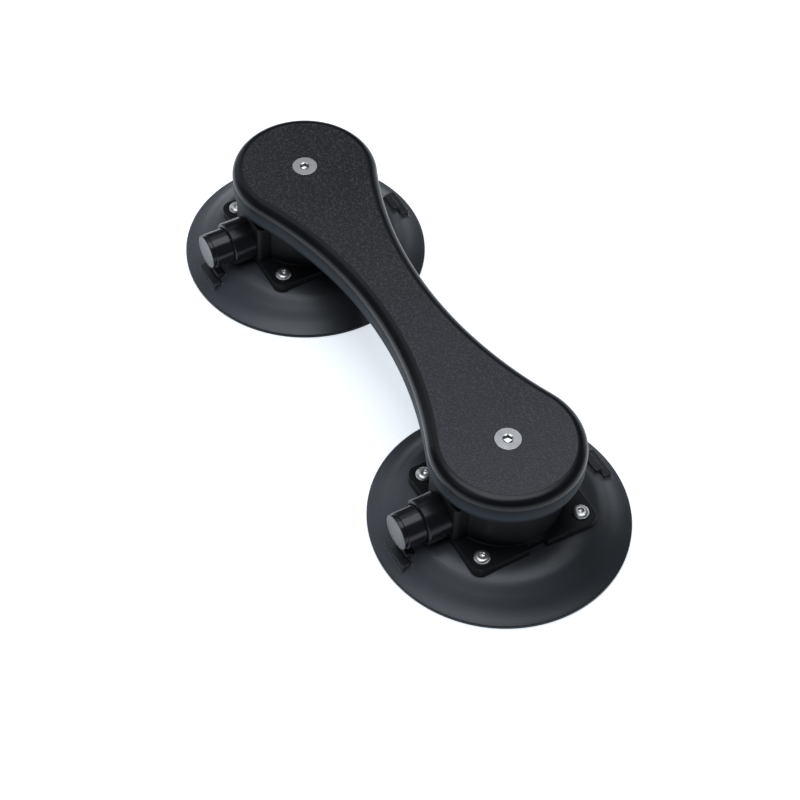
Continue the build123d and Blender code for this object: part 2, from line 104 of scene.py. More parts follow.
def bridge(bm, ring_a, ring_b, material=0):
    """Quads between two closed rings of the same length."""
    count = len(ring_a)
    for i in range(count):
        j = (i + 1) % count
        quad = [ring_a[i], ring_a[j], ring_b[j], ring_b[i]]
        corners = list(dict.fromkeys(quad))
        if len(corners) >= 3:
            bm.faces.new(corners).material_index = material


def arc_points(centre, radius, start, end, steps):
    """Points on a plane arc, angles in degrees, both ends included."""
    return [
        (
            centre[0] + radius * math.cos(math.radians(start + (end - start) * i / steps)),
            centre[1] + radius * math.sin(math.radians(start + (end - start) * i / steps)),
        )
        for i in range(steps + 1)
    ]


def rounded_path(corners, closed=False, steps=6):
    """A plane path whose corners, given as (u, v, radius), are rounded by arcs."""
    count = len(corners)
    path = []
    for i, (u, v, radius) in enumerate(corners):
        here = Vector((u, v))
        if radius <= 0 or (not closed and i in (0, count - 1)):
            path.append((u, v))
            continue
        before = Vector(corners[i - 1][:2]) - here
        after = Vector(corners[(i + 1) % count][:2]) - here
        half = before.angle(after) / 2
        reach = radius / math.tan(half)
        start = here + before.normalized() * reach
        end = here + after.normalized() * reach
        centre = here + (before.normalized() + after.normalized()).normalized() * (radius / math.sin(half))
        sweep = (start - centre).angle_signed(end - centre)
        for k in range(steps + 1):
            turn = -sweep * k / steps
            arm = start - centre
            path.append(
                (
                    centre.x + arm.x * math.cos(turn) - arm.y * math.sin(turn),
                    centre.y + arm.x * math.sin(turn) + arm.y * math.cos(turn),
                )
            )
    return path


def inset_corners(corners, inset):
    """Moves every side of a counterclockwise outline inwards; the corner radii follow."""
    count = len(corners)
    moved = []
    for i, (u, v, radius) in enumerate(corners):
        here = Vector((u, v))
        into = (here - Vector(corners[i - 1][:2])).normalized()
        out = (Vector(corners[(i + 1) % count][:2]) - here).normalized()
        turn = into.x * out.y - into.y * out.x
        normal_in = Vector((-into.y, into.x))
        normal_out = Vector((-out.y, out.x))
        shift = (normal_in + normal_out) / (1 + normal_in.dot(normal_out)) * inset
        moved.append((u + shift.x, v + shift.y, max(radius - math.copysign(inset, turn), 1e-5)))
    return moved


def place(bm, plane, u, v, w):
    """A vertex at (u, v) on a plane with height w. A plane is (origin, u axis, v axis, w axis)."""
    origin, ux, vx, wx = plane
    return bm.verts.new(origin + ux * u + vx * v + wx * w)


def flat_plane(x, y, z):
    return (Vector((x, y, z)), Vector((1, 0, 0)), Vector((0, 1, 0)), Vector((0, 0, 1)))


def pump_plane(x):
    """Square to the pump's axis at the cup's centre; its height runs along +Y."""
    return (Vector((x, 0, PUMP_Z)), Vector((-1, 0, 0)), Vector((0, 0, 1)), Vector((0, 1, 0)))


def stack(bm, plane, rings, materials=None, closed=False):
    """Lofts closed rings of (u, v, w) points; the first and last are capped unless closed."""
    made = [[place(bm, plane, *point) for point in ring] for ring in rings]
    for k in range(len(made) - 1):
        bridge(bm, made[k], made[k + 1], materials[k] if materials else 0)
    if closed:
        bridge(bm, made[-1], made[0])
    else:
        for ring in (made[0], made[-1]):
            bm.faces.new(ring)
    return made


def circle(radius, w, count):
    turns = [2 * math.pi * i / count for i in range(count)]
    return [(radius * math.cos(turn), radius * math.sin(turn), w) for turn in turns]


def hexagon(across, w, count):
    """A hexagon of that width across its flats, with count points on its outline."""
    ring = []
    sector = 2 * math.pi / 6
    for i in range(count):
        angle = 2 * math.pi * i / count
        within = (angle + sector / 2) % sector - sector / 2
        radius = across / 2 / math.cos(within)
        ring.append((radius * math.cos(angle), radius * math.sin(angle), w))
    return ring


def lathe(bm, plane, profile, count=96, materials=None, closed=False):
    """Turns a (radius, height) profile about the plane's height axis. A radius of 0 makes a pole."""
    rings = []
    for radius, w in profile:
        if radius < SAME_POINT:
            rings.append([place(bm, plane, 0, 0, w)] * count)
        else:
            rings.append([place(bm, plane, *point) for point in circle(radius, w, count)])
    for k in range(len(rings) - 1):
        bridge(bm, rings[k], rings[k + 1], materials[k] if materials else 0)
    if closed:
        bridge(bm, rings[-1], rings[0])
    return rings


def cut(piece_mesh, cutters, operation="DIFFERENCE"):
    """Boolean of a mesh with a list of bmesh cutters, returned as a new mesh."""
    base = bpy.data.objects.new("cut_base", piece_mesh)
    bpy.context.scene.collection.objects.link(base)
    helpers = [base]
    for i, cutter in enumerate(cutters):
        bmesh.ops.recalc_face_normals(cutter, faces=cutter.faces)
        mesh = bpy.data.meshes.new("cutter")
        cutter.to_mesh(mesh)
        cutter.free()
        helper = bpy.data.objects.new("cutter", mesh)
        bpy.context.scene.collection.objects.link(helper)
        helpers.append(helper)
        modifier = base.modifiers.new(f"cut_{i}", "BOOLEAN")
        modifier.operation = operation
        modifier.solver = "EXACT"
        modifier.object = helper
    bpy.context.view_layer.update()
    depsgraph = bpy.context.evaluated_depsgraph_get()
    result = bpy.data.meshes.new_from_object(base.evaluated_get(depsgraph))
    for helper in helpers:
        bpy.data.objects.remove(helper)
    return result


# ================================================================ materials
class Nodes:
    """A short way to write a node material: each call adds a node and returns its first output."""

    def __init__(self, name):
        self.material = bpy.data.materials.new(name)
        self.material.use_nodes = True
        self.tree = self.material.node_tree
        self.tree.nodes.clear()
        self.shader = self.tree.nodes.new("ShaderNodeBsdfPrincipled")
        output = self.tree.nodes.new("ShaderNodeOutputMaterial")
        self.tree.links.new(self.shader.outputs[0], output.inputs[0])
        self.place = self.tree.nodes.new("ShaderNodeTexCoord").outputs["Object"]

    def link(self, value, socket):
        if isinstance(value, bpy.types.NodeSocket):
            self.tree.links.new(value, socket)
        else:
            socket.default_value = value

    def noise(self, scale, detail=4.0, roughness=0.55, vector=None):
        node = self.tree.nodes.new("ShaderNodeTexNoise")
        self.link(vector or self.place, node.inputs["Vector"])
        node.inputs["Scale"].default_value = scale
        node.inputs["Detail"].default_value = detail
        node.inputs["Roughness"].default_value = roughness
        return node.outputs["Fac"]

    def cells(self, scale, smooth):
        node = self.tree.nodes.new("ShaderNodeTexVoronoi")
        node.feature = "SMOOTH_F1"
        node.inputs["Smoothness"].default_value = smooth
        self.link(self.place, node.inputs["Vector"])
        node.inputs["Scale"].default_value = scale
        return node.outputs["Distance"]

    def stretched(self, scale):
        node = self.tree.nodes.new("ShaderNodeMapping")
        node.vector_type = "POINT"
        self.link(self.place, node.inputs["Vector"])
        node.inputs["Scale"].default_value = scale
        return node.outputs[0]

    def ramp(self, value, stops):
        """Maps a value through (position, grey or colour) stops."""
        node = self.tree.nodes.new("ShaderNodeValToRGB")
        self.link(value, node.inputs[0])
        while len(node.color_ramp.elements) < len(stops):
            node.color_ramp.elements.new(0.5)
        for element, (position, colour) in zip(node.color_ramp.elements, stops):
            element.position = position
            if isinstance(colour, (int, float)):
                colour = (colour, colour, colour)
            element.color = (*colour, 1)
        return node.outputs[0]

    def math(self, operation, a, b=0.5):
        node = self.tree.nodes.new("ShaderNodeMath")
        node.operation = operation
        self.link(a, node.inputs[0])
        self.link(b, node.inputs[1])
        return node.outputs[0]

    def axis_part(self, axis):
        node = self.tree.nodes.new("ShaderNodeSeparateXYZ")
        self.link(self.place, node.inputs[0])
        return node.outputs[axis]

    def mix(self, factor, a, b):
        node = self.tree.nodes.new("ShaderNodeMix")
        node.data_type = "RGBA"
        self.link(factor, node.inputs[0])
        for value, socket in ((a, node.inputs[6]), (b, node.inputs[7])):
            self.link(value if isinstance(value, bpy.types.NodeSocket) else (*value, 1), socket)
        return node.outputs[2]

    def bump(self, height, distance, strength):
        node = self.tree.nodes.new("ShaderNodeBump")
        node.inputs["Strength"].default_value = strength
        node.inputs["Distance"].default_value = distance
        self.link(height, node.inputs["Height"])
        return node.outputs[0]

    def worn_edges(self, radius):
        """1 on convex edges, from the angle between the rounded and the true normal."""
        bevel = self.tree.nodes.new("ShaderNodeBevel")
        bevel.samples = 4
        bevel.inputs["Radius"].default_value = radius
        geometry = self.tree.nodes.new("ShaderNodeNewGeometry")
        dot = self.tree.nodes.new("ShaderNodeVectorMath")
        dot.operation = "DOT_PRODUCT"
        self.link(bevel.outputs[0], dot.inputs[0])
        self.link(geometry.outputs["Normal"], dot.inputs[1])
        return self.ramp(dot.outputs["Value"], [(0.55, 1.0), (0.92, 0.0)])

    def set(self, **values):
        names = {
            "colour": "Base Color",
            "roughness": "Roughness",
            "metallic": "Metallic",
            "normal": "Normal",
            "specular": "Specular IOR Level",
        }
        for key, value in values.items():
            if key == "colour" and not isinstance(value, bpy.types.NodeSocket):
                value = (*value, 1)
            self.link(value, self.shader.inputs[names[key]])
        return self.material


def pebbled_plastic():
    """Top and bottom of the plate: a fine, hard pebble whose paler crowns are painted glints, with a painted
    sheen that pales it towards +X.
    """
    n = Nodes("pebbled_plastic")
    grain = n.cells(900, smooth=0.35)
    fine = n.noise(2600, detail=3)
    broad = n.noise(14, detail=5)
    speck = n.noise(520, detail=3, roughness=0.75)
    relief = n.math("ADD", n.math("MULTIPLY", speck, 0.9), n.math("MULTIPLY", grain, -0.45))
    # Painted highlight: the paler pebble crowns and speckle stand in for glints, put into the colour.
    crown = n.ramp(relief, [(0.20, 0.0), (0.44, 1.0)])
    base = n.mix(crown, (0.0012, 0.0012, 0.0020), (0.0540, 0.0530, 0.0590))
    hazed = n.mix(n.ramp(broad, [(0.35, 0.0), (0.7, 0.22)]), base, (0.038, 0.038, 0.043))
    # Painted reflection: the top turns paler and a little purple towards +X, where it catches more reflected
    # light.
    along = n.ramp(n.math("ADD", n.math("MULTIPLY", n.axis_part(0), 2.6), 0.5), [(0.25, 0.0), (0.95, 0.50)])
    colour = n.mix(along, hazed, (0.078, 0.073, 0.086))
    roughness = n.ramp(n.math("MULTIPLY", fine, grain), [(0.05, 0.46), (0.45, 0.62)])
    height = n.math("ADD", n.math("MULTIPLY", grain, -1.0), n.math("MULTIPLY", fine, 0.35))
    return n.set(colour=colour, roughness=roughness, normal=n.bump(height, 0.00028, 0.9), specular=0.45)


def routed_plastic():
    """The plate's rounded edges: smooth satin with faint cutter lines."""
    n = Nodes("routed_plastic")
    lines = n.noise(900, detail=2, vector=n.stretched((0.02, 0.02, 1.0)))
    mottle = n.noise(40, detail=4)
    colour = n.mix(mottle, (0.0030, 0.0032, 0.0042), (0.0060, 0.0066, 0.0080))
    roughness = n.ramp(mottle, [(0.3, 0.26), (0.7, 0.34)])
    return n.set(colour=colour, roughness=roughness, normal=n.bump(lines, 0.00004, 0.5), specular=0.32)


def sawn_plastic():
    """The plate's upright sides: matt, with upright saw lines and a painted floor reflection that makes them
    palest below mid-height.
    """
    n = Nodes("sawn_plastic")
    lines = n.noise(700, detail=3, vector=n.stretched((1.0, 1.0, 0.03)))
    mottle = n.noise(30, detail=4)
    rise = n.math("DIVIDE", n.math("SUBTRACT", n.axis_part(2), PLATE_LOW.z), PLATE_HIGH.z - PLATE_LOW.z)
    # Painted reflection: a pale teal band low on the wall stands in for the floor reflected in it; above and
    # below it the wall stays dark.
    pale = n.mix(mottle, (0.0220, 0.0310, 0.0400), (0.0350, 0.0470, 0.0590))
    painted_reflection_band = n.ramp(rise, [(0.14, 0.0), (0.26, 1.0), (0.40, 0.75), (0.66, 0.0)])
    colour = n.mix(painted_reflection_band, (0.0060, 0.0072, 0.0092), pale)
    roughness = n.ramp(mottle, [(0.3, 0.55), (0.7, 0.66)])
    return n.set(colour=colour, roughness=roughness, normal=n.bump(lines, 0.00003, 0.5), specular=0.20)


def pad_rubber(name, dark, pale, shine):
    """Charcoal rubber: satin, clouded, with dust, fine moulding grain and painted light that lightens it
    towards -Y.
    """
    n = Nodes(name)
    cloud = n.noise(22, detail=6, roughness=0.6)
    fine = n.noise(1500, detail=2)
    dust = n.ramp(n.noise(420, detail=2, roughness=0.4), [(0.70, 0.0), (0.76, 1.0)])
    base = n.mix(n.ramp(cloud, [(0.3, 0.0), (0.72, 1.0)]), dark, pale)
    # Painted light: the rubber is lightened up to 2.3 times towards -Y, as if lit from that side.
    painted_light_minus_y = n.ramp(n.math("ADD", n.math("MULTIPLY", n.axis_part(1), -7.0), 0.4), [(0.25, 0.0), (0.95, 1.0)])
    base = n.mix(painted_light_minus_y, base, tuple(2.3 * c for c in pale))
    colour = n.mix(n.math("MULTIPLY", dust, 0.10), base, (0.16, 0.16, 0.16))
    roughness = n.ramp(cloud, [(0.3, 0.42), (0.7, 0.34)])
    return n.set(colour=colour, roughness=roughness, normal=n.bump(fine, 0.00005, 0.6), specular=shine)


def moulded_plastic(name, dark, pale, rough=(0.34, 0.48), grain=1400, depth=0.00005, edge=0.0004, shine=0.3):
    """Injection-moulded plastic with spark-eroded grain and slightly polished edges."""
    n = Nodes(name)
    fine = n.noise(grain, detail=3)
    broad = n.noise(60, detail=4)
    worn = n.worn_edges(edge)
    base = n.mix(broad, dark, pale)
    colour = n.mix(n.math("MULTIPLY", worn, 0.25), base, tuple(min(1.0, c * 2.0) for c in pale))
    roughness = n.ramp(broad, [(0.3, rough[0]), (0.7, rough[1])])
    return n.set(colour=colour, roughness=roughness, normal=n.bump(fine, depth, 0.6), specular=shine)


def turned_metal(name, tint, rough=(0.20, 0.36), scale=2200, depth=0.000012):
    """Machined metal with fine tool marks and a slightly uneven polish."""
    n = Nodes(name)
    marks = n.noise(scale, detail=2)
    smear = n.noise(160, detail=4)
    colour = n.mix(smear, tuple(c * 0.86 for c in tint), tint)
    roughness = n.ramp(smear, [(0.3, rough[0]), (0.7, rough[1])])
    return n.set(colour=colour, metallic=1.0, roughness=roughness, normal=n.bump(marks, depth, 0.6))


def soft_rubber(name, dark, pale):
    n = Nodes(name)
    fine = n.noise(2400, detail=2)
    broad = n.noise(90, detail=4)
    colour = n.mix(broad, dark, pale)
    roughness = n.ramp(broad, [(0.3, 0.38), (0.7, 0.52)])
    return n.set(colour=colour, roughness=roughness, normal=n.bump(fine, 0.00003, 0.5))


def sintered_metal():
    n = Nodes("sintered_metal")
    beads = n.cells(3200, smooth=0.2)
    # Painted shade: the gaps between the beads are darkened in the colour, as shade in the pores.
    colour = n.mix(n.ramp(beads, [(0.2, 1.0), (0.7, 0.0)]), (0.10, 0.09, 0.08), (0.55, 0.53, 0.50))
    height = n.math("MULTIPLY", beads, -1.0)
    roughness = n.ramp(beads, [(0.2, 0.35), (0.7, 0.65)])
    return n.set(colour=colour, metallic=1.0, roughness=roughness, normal=n.bump(height, 0.0002, 1.0))


PEBBLED = pebbled_plastic()
ROUTED = routed_plastic()
SAWN = sawn_plastic()
RUBBER = pad_rubber("pad_rubber", (0.0160, 0.0180, 0.0210), (0.0250, 0.0275, 0.0315), 0.5)
# Painted shade: the lift tabs get a copy of the pad rubber at under half its colour, for the shade they sit
# in.
TAB_SHADE_RUBBER = pad_rubber("tab_rubber_painted_shade", (0.0060, 0.0066, 0.0076), (0.0110, 0.0120, 0.0135), 0.4)
# Painted shade: the outer 0.6 mm of the rim gets a near-black copy of the pad rubber, for the dark edge where
# it turns under.
RIM_SHADE_RUBBER = pad_rubber("rim_rubber_painted_shade", (0.0030, 0.0033, 0.0038), (0.0050, 0.0055, 0.0062), 0.15)
BODY_PLASTIC = moulded_plastic("body_plastic", (0.0060, 0.0064, 0.0075), (0.0115, 0.0120, 0.0135), shine=0.16)
COLLAR_PLASTIC = moulded_plastic(
    "collar_plastic", (0.0075, 0.0075, 0.0090), (0.0120, 0.0120, 0.0140), rough=(0.18, 0.26), shine=0.26
)
BUTTON_PLASTIC = moulded_plastic(
    "button_plastic", (0.0090, 0.0090, 0.0110), (0.0150, 0.0150, 0.0175), rough=(0.16, 0.24), shine=0.36
)
CAP_PLASTIC = moulded_plastic(
    "cap_plastic", (0.0100, 0.0110, 0.0130), (0.0150, 0.0165, 0.0190), rough=(0.16, 0.24), shine=0.30
)
ACETAL = moulded_plastic("acetal", (0.62, 0.60, 0.55), (0.72, 0.70, 0.65), grain=900, depth=0.00002)
STEEL = turned_metal("stainless_steel", (0.62, 0.61, 0.60), rough=(0.17, 0.26))
DOME_STEEL = turned_metal("tumbled_steel", (0.80, 0.79, 0.77), rough=(0.30, 0.40))
WIRE_STEEL = turned_metal("spring_steel", (0.42, 0.42, 0.43), rough=(0.26, 0.40), scale=3000)
ALUMINIUM = turned_metal("machined_aluminium", (0.72, 0.73, 0.74), rough=(0.31, 0.35), scale=1200)
BRASS = turned_metal("machined_brass", (0.74, 0.55, 0.26), rough=(0.18, 0.32))
NITRILE = soft_rubber("nitrile_rubber", (0.008, 0.008, 0.009), (0.016, 0.016, 0.017))
SILICONE = soft_rubber("silicone_rubber", (0.30, 0.05, 0.03), (0.42, 0.08, 0.05))
SINTERED = sintered_metal()

CAD_MATERIALS = {
    "clamp_plate": ALUMINIUM,
    "port_filter": SINTERED,
    "port_oring": NITRILE,
    "mount_insert": BRASS,
    "pump_cylinder": BRASS,
    "valve_seat": ACETAL,
    "seat_oring": NITRILE,
    "check_valve": SILICONE,
    "guide_bush": ACETAL,
    "bush_circlip": WIRE_STEEL,
    "plunger_rod": STEEL,
    "piston": ACETAL,
    "piston_seal": NITRILE,
    "piston_screw": STEEL,
}


def dress(piece, *materials):
    """Gives a new piece its materials, in the order of its faces' indices."""
    for material in materials:
        piece.data.materials.append(material)
    return piece


def redress(node, material):
    """Puts one material in every slot of a CAD node's object."""
    if not node.material_slots:
        node.data.materials.append(material)
    for material_slot in node.material_slots:
        material_slot.material = material


for node_name, node in NODES.items():
    kind = node_name.split("_", 1)[1]
    if kind in CAD_MATERIALS:
        redress(node, CAD_MATERIALS[kind])


# ================================================================ plate
END_R = PLATE_HIGH.y
WAIST_HALF = 19.05 * MM
EDGE_ROUND = 6.35 * MM
UNDER_ROUND = 3.2 * MM
EDGE_STEPS = 20
UNDER_STEPS = 12
SINK_LEAD = 0.1 * MM
SINK_R = 7.75 * MM
SINK_DEPTH = 3.5 * MM
SCREW_HOLE_R = 4.4 * MM
PLATE_FLAT, PLATE_ROUND, PLATE_SIDE = range(3)


def plate_ring(inset, z, end_steps=110, waist_steps=90):
    """Dog-bone outline: two end arcs joined by two hollow waist arcs, all tangent."""
    waist_r = (HALF_SPACING**2 + WAIST_HALF**2 - END_R**2) / (2 * (END_R - WAIST_HALF))
    waist_y = WAIST_HALF + waist_r
    lean = math.degrees(math.atan2(waist_y, HALF_SPACING))
    flat = 90 - lean
    end_r = END_R - inset
    hollow_r = waist_r + inset
    ring = arc_points((HALF_SPACING, 0), end_r, -180 + lean, 180 - lean, end_steps)[:-1]
    ring += arc_points((0, waist_y), hollow_r, -90 + flat, -90 - flat, waist_steps)[:-1]
    ring += arc_points((-HALF_SPACING, 0), end_r, lean, 360 - lean, end_steps)[:-1]
    ring += arc_points((0, -waist_y), hollow_r, 90 + flat, 90 - flat, waist_steps)[:-1]
    return [(x, y, z) for x, y in ring]


def build_plate():
    low, high = PLATE_LOW.z, PLATE_HIGH.z
    profile = arc_points((UNDER_ROUND, low + UNDER_ROUND), UNDER_ROUND, 270, 180, UNDER_STEPS)
    profile += arc_points((EDGE_ROUND, high - EDGE_ROUND), EDGE_ROUND, 180, 90, EDGE_STEPS)
    bm = bmesh.new()
    plane = flat_plane(0, 0, 0)
    rings = [[place(bm, plane, *point) for point in plate_ring(u, v)] for u, v in profile]
    for k in range(len(rings) - 1):
        bridge(bm, rings[k], rings[k + 1], PLATE_SIDE if k <= UNDER_STEPS else PLATE_ROUND)
    holes = {low: [], high: []}
    for cx in CUP_X.values():
        hole = lathe(
            bm,
            flat_plane(cx, 0, 0),
            [
                (SCREW_HOLE_R, low),
                (SCREW_HOLE_R, high - SINK_DEPTH),
                (SINK_R, high - SINK_LEAD),
                (SINK_R, high),
            ],
            count=72,
            materials=[PLATE_ROUND] * 3,
        )
        holes[low].append(hole[0])
        holes[high].append(hole[-1])
    for outer, z in ((rings[0], low), (rings[-1], high)):
        edges = []
        for ring in [outer] + holes[z]:
            for i, vert in enumerate(ring):
                edges.append(bm.edges.get((vert, ring[(i + 1) % len(ring)])))
        filled = bmesh.ops.triangle_fill(bm, use_beauty=True, use_dissolve=False, edges=edges)
        for face in filled["geom"]:
            if isinstance(face, bmesh.types.BMFace):
                face.material_index = PLATE_FLAT
    plate = finish_mesh(bm, "plate_bar", "frame", replaces=["bar_plate"])
    return dress(plate, PEBBLED, ROUTED, SAWN)


# ================================================================ pads
RIM_T = 2.5 * MM
HUB_R = 43.0 * MM
SEAL_INNER_R = 67.0 * MM
CAVITY_TOP_R = 58.0 * MM
CAVITY_H = 11.0 * MM
CROWN = [
    (HUB_R, HUB_TOP),
    (54.0 * MM, 15.2 * MM),
    (62.0 * MM, 10.6 * MM),
    (69.0 * MM, 5.9 * MM),
    (PAD_R, RIM_T),
]
RIM_SLOPE = -0.40
RIM_EASE = 0.5 * MM
RIM_BAND = 0.6 * MM
RIM_JOIN = 4
SEAL_GROOVES = (69.0 * MM, 71.5 * MM, 74.0 * MM)
GROOVE_HALF = 0.4 * MM
RELIEF_R = 14.8 * MM
COLLAR_GAP = 1.2 * MM
# Face indices for the tabs' and the rim's painted-shade rubbers.
TAB_SHADE_FACE, RIM_SHADE_FACE = 1, 2


def crown_curve(steps=14):
    """Top of the pad from the hub to the rim: a cubic through the crown's points."""
    slopes = []
    for i in range(len(CROWN)):
        a = CROWN[max(i - 1, 0)]
        b = CROWN[min(i + 1, len(CROWN) - 1)]
        slopes.append((b[1] - a[1]) / (b[0] - a[0]))
    slopes[0] = 0.0
    slopes[-1] = RIM_SLOPE
    curve = []
    for i in range(len(CROWN) - 1):
        (r0, z0), (r1, z1) = CROWN[i], CROWN[i + 1]
        width = r1 - r0
        for k in range(steps):
            t = k / steps
            h00 = 2 * t**3 - 3 * t**2 + 1
            h10 = t**3 - 2 * t**2 + t
            h01 = -2 * t**3 + 3 * t**2
            h11 = t**3 - t**2
            height = h00 * z0 + h10 * width * slopes[i] + h01 * z1 + h11 * width * slopes[i + 1]
            curve.append((r0 + width * t, height))
    curve.append(CROWN[-1])
    return curve


CROWN_LINE = crown_curve()


def crown_height(radius):
    if radius <= HUB_R:
        return HUB_TOP
    for (r0, z0), (r1, z1) in zip(CROWN_LINE, CROWN_LINE[1:]):
        if r0 <= radius <= r1:
            return z0 + (z1 - z0) * (radius - r0) / (r1 - r0)
    return RIM_T


def pad_profile():
    """Closed (radius, height) profile, from the middle of the underside round to the top."""
    inner = rounded_path(
        [
            (0, CAVITY_H, 0),
            (CAVITY_TOP_R, CAVITY_H, 3.5 * MM),
            (SEAL_INNER_R, 0, 0.8 * MM),
            (SEAL_GROOVES[0] - GROOVE_HALF, 0, 0),
        ]
    )
    band = []
    for groove in SEAL_GROOVES:
        band += arc_points((groove, 0), GROOVE_HALF, 180, 0, 6)
    rim = rounded_path(
        [
            (SEAL_GROOVES[-1] + GROOVE_HALF, 0, 0),
            (PAD_R, 0, RIM_EASE),
            (PAD_R, RIM_T - 0.1 * MM, RIM_EASE),
            CROWN_LINE[-RIM_JOIN] + (0,),
        ]
    )
    top = list(reversed(CROWN_LINE[: -RIM_JOIN - 1]))
    return inner[:-1] + band + rim[1:] + top + [(0, HUB_TOP)]


# each step of a lift tab: half width, near and far edge from the cup's centre, and top
TAB_STEPS = ((10.5 * MM, 64.0 * MM, 70.0 * MM, 9.6 * MM), (6.8 * MM, 60.0 * MM, 65.2 * MM, 13.2 * MM))
TAB_CORNER = 1.6 * MM
TAB_FLARE = 1.0 * MM
TAB_EASE = 0.9 * MM
TAB_ROOT = 0.6 * MM
TAB_LIFT = 0.3 * MM


def tab_ring(cx, sign, corners, inset, height, follow):
    """One ring of a lift tab. With follow, height is counted from the pad's surface."""
    ring = []
    for u, v in rounded_path(inset_corners(corners, inset), closed=True, steps=7):
        surface = crown_height(math.hypot(u, v))
        ring.append((cx + u, sign * v, surface + height if follow else max(height, surface + TAB_LIFT)))
    return ring


def add_tab(cx, sign, half, near, far, top):
    """A moulded lift tab: it flares out where it meets the pad and is rounded on top."""
    corners = [(u, v, TAB_CORNER) for u, v in ((-half, near), (half, near), (half, far), (-half, far))]
    rings = [tab_ring(cx, sign, corners, -TAB_FLARE, -TAB_ROOT, True)]
    for k in range(5):
        angle = math.radians(90 * k / 4)
        inset = -TAB_FLARE * (1 - math.sin(angle))
        rings.append(tab_ring(cx, sign, corners, inset, TAB_FLARE * (1 - math.cos(angle)), True))
    for k in range(6):
        angle = math.radians(90 * k / 5)
        inset = TAB_EASE * (1 - math.cos(angle))
        rings.append(tab_ring(cx, sign, corners, inset, top - TAB_EASE * (1 - math.sin(angle)), False))
    bm = bmesh.new()
    stack(bm, flat_plane(0, 0, 0), rings)
    return bm


def build_pad(side):
    cx = CUP_X[side]
    bm = bmesh.new()
    lathe(bm, flat_plane(cx, 0, 0), pad_profile(), count=288)
    collar_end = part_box(f"{side}_pump_collar")[0].y - COLLAR_GAP
    relief_start = BODY_LOW.y
    for vert in bm.verts:
        beneath = collar_end < vert.co.y < relief_start and abs(vert.co.x - cx) < RELIEF_R
        if beneath and vert.co.z > CAVITY_H + 1.0 * MM:
            floor = PUMP_Z - math.sqrt(RELIEF_R**2 - (vert.co.x - cx) ** 2)
            vert.co.z = min(vert.co.z, floor)
    mesh = to_mesh(bm, "pad_base")
    tabs = [
        add_tab(cx, sign, half, near, far, top)
        for sign in (1, -1)
        for half, near, far, top in TAB_STEPS
    ]
    mesh = cut(mesh, tabs, "UNION")
    rim_start = PAD_R - RIM_BAND
    for face in mesh.polygons:
        radius = math.hypot(face.center.x - cx, face.center.y)
        # The rim's edge band takes the near-black, painted-shade rubber.
        if radius > rim_start and face.center.z > 0.2 * MM:
            face.material_index = RIM_SHADE_FACE
        # Faces of the lift tabs take the darker, painted-shade rubber.
        elif radius > CAVITY_TOP_R and face.center.z > crown_height(radius) + TAB_LIFT:
            face.material_index = TAB_SHADE_FACE
    pad = finish_object(
        mesh, f"{side}_pad", "frame", sharp=50, replaces=[f"{side}_vacuum_pad"]
    )
    return dress(pad, RUBBER, TAB_SHADE_RUBBER, RIM_SHADE_RUBBER)


# ================================================================ pump body
FLANGE_Z = HUB_TOP
FLANGE_TOP = 22.0 * MM
FLANGE_CORNER = 6.5 * MM
FLANGE_EASE = 0.8 * MM
NOTCH_HALF = 5.5 * MM
NOTCH_DEPTH = 3.6 * MM
PUCK_R = 35.75 * MM
PUCK_FOOT = 1.0 * MM
PUCK_EASE = 0.5 * MM
PUCK_SINK = 0.02 * MM
BOSS_HALF = 15.8 * MM
BOSS_TOP = 49.0 * MM
BOSS_EASE = 3.0 * MM
BOSS_TOP_EASE = 1.2 * MM
BOSS_BACK_EASE = 0.5 * MM
SCREW_AT = 32.3 * MM
SCREW_SEAT_R = 5.6 * MM
SCREW_SINK = 0.4 * MM
BUTTON_BORE_R = 11.3 * MM
BUTTON_BORE_END = -31 * MM
BORE_SLACK = 1.3 * MM
BOSS_BACK = -2 * MM


def eased_slab(bm, plane, corners, low, high, ease, steps=5):
    """A prism on a rounded outline whose top edge is rounded by ease."""
    rings = []
    for inset, z in [(0, low)] + [
        (ease * (1 - math.cos(math.radians(a))), high - ease * (1 - math.sin(math.radians(a))))
        for a in [90 * k / steps for k in range(steps + 1)]
    ]:
        outline = rounded_path(inset_corners(corners, inset), closed=True, steps=8)
        rings.append([(u, v, z) for u, v in outline])
    stack(bm, plane, rings)


def flange_corners():
    f, n, d, c = FLANGE_HALF, NOTCH_HALF, NOTCH_DEPTH, FLANGE_CORNER
    notch_r = 1.0 * MM
    return [
        (-f, -f, c),
        (f, -f, c),
        (f, -n, notch_r),
        (f - d, -n, notch_r),
        (f - d, n, notch_r),
        (f, n, notch_r),
        (f, f, c),
        (-f, f, c),
        (-f, n, notch_r),
        (-f + d, n, notch_r),
        (-f + d, -n, notch_r),
        (-f, -n, notch_r),
    ]


